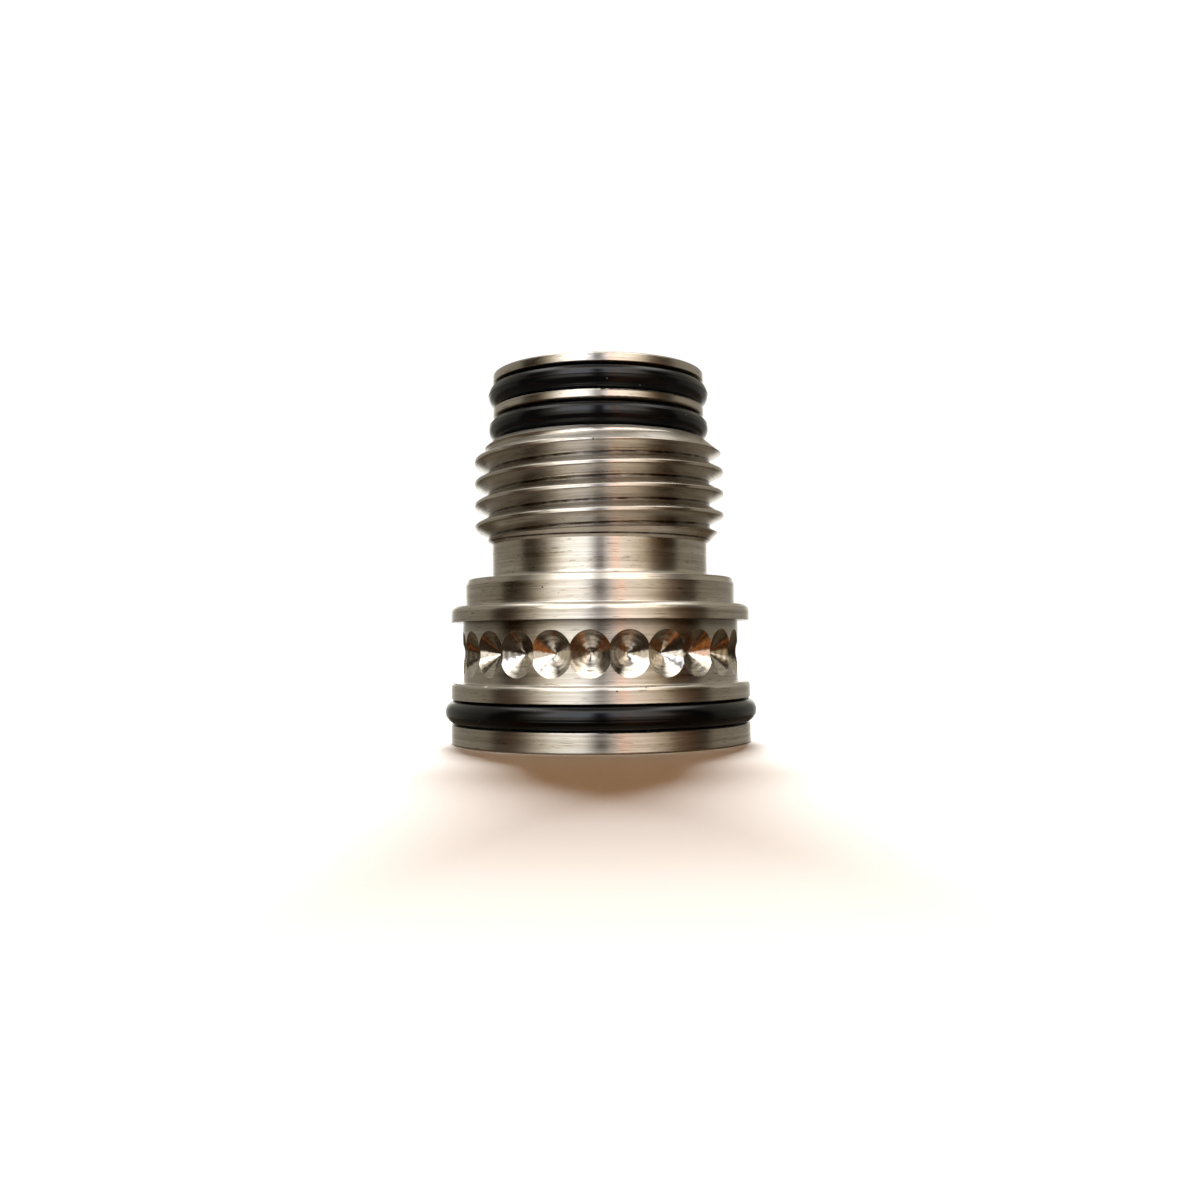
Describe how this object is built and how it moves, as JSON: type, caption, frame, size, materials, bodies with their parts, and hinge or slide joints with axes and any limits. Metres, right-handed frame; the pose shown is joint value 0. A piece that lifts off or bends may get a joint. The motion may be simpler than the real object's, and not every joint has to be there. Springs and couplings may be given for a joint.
{
  "type": "cartridge valve",
  "caption": "Screw-in in-line poppet cartridge with a pipe-threaded barrel, sealed nose and head, and a ring of conical locking dimples.",
  "frame": {"origin": "centre of the head's flat outer face, on the valve's axis", "axes": "+Z along the valve's axis from the head to the nose; +X and +Y are across it"},
  "size_m": [0.026, 0.026, 0.0308],
  "materials": {
    "turned_stainless": "turned and bright, with fine feed lines",
    "seat_steel": "hardened and ground stainless",
    "poppet_steel": "turned stainless",
    "black_nitrile": "moulded nitrile rubber, oiled",
    "seal_disc": "moulded nitrile rubber, dull",
    "screen_steel": "perforated stainless sheet",
    "clip_steel": "phosphated spring steel",
    "screw_steel": "turned stainless",
    "spring_wire": "drawn stainless wire",
    "carrier_steel": "machined stainless",
    "bush_bronze": "sintered bronze",
    "washer_steel": "stamped and ground",
    "washer_brass": "stamped"
  },
  "bodies": {
    "housing": {"valve_body": "turned_stainless", "head_o_ring": "black_nitrile", "nose_o_ring_rear": "black_nitrile", "nose_o_ring_front": "black_nitrile", "seat_insert": "seat_steel", "seat_o_ring": "black_nitrile", "inlet_screen": "screen_steel", "nose_retaining_ring": "clip_steel", "head_retaining_ring": "clip_steel"},
    "poppet_assembly": {"poppet": "poppet_steel", "poppet_seal": "seal_disc", "seal_retainer_screw": "screw_steel"},
    "spring_carrier_assembly": {"spring_carrier": "carrier_steel", "guide_bush": "bush_bronze", "spring_seat_washer": "washer_steel", "thrust_washer": "washer_brass", "poppet_spring": "spring_wire"},
    "adjusting_screw_body": {"adjusting_screw": "screw_steel"},
    "lock_washer_body": {"lock_washer": "washer_brass"},
    "lock_screw_body": {"lock_screw": "screw_steel"}
  },
  "joints": [
    {"name": "poppet_lift", "type": "slide", "parent": "housing", "child": "poppet_assembly", "axis": [0, 0, -1], "range_m": [0, 0.002], "stiffness_N_per_m": 1340, "springref_m": -0.002, "deforming": ["poppet_spring"]},
    {"name": "spring_carrier_travel", "type": "slide", "parent": "housing", "child": "spring_carrier_assembly", "axis": [0, 0, -1], "range_m": [0, 0.001], "deforming": ["poppet_spring"]},
    {"name": "adjusting_screw_turn", "type": "hinge", "parent": "spring_carrier_assembly", "child": "adjusting_screw_body", "pos_m": [0, 0, 0.00815], "axis": [0, 0, -1], "range_deg": [0, 360]},
    {"name": "lock_washer_travel", "type": "slide", "parent": "adjusting_screw_body", "child": "lock_washer_body", "axis": [0, 0, -1], "range_m": [0, 0.0008]},
    {"name": "lock_screw_turn", "type": "hinge", "parent": "lock_washer_body", "child": "lock_screw_body", "pos_m": [0, 0, 0.00485], "axis": [0, 0, -1], "range_deg": [0, 288]}
  ],
  "couplings": [
    {"joint": "spring_carrier_travel", "follows": "adjusting_screw_turn", "m_per_rad": 0.00015915},
    {"joint": "lock_washer_travel", "follows": "lock_screw_turn", "m_per_rad": 0.00015915}
  ]
}
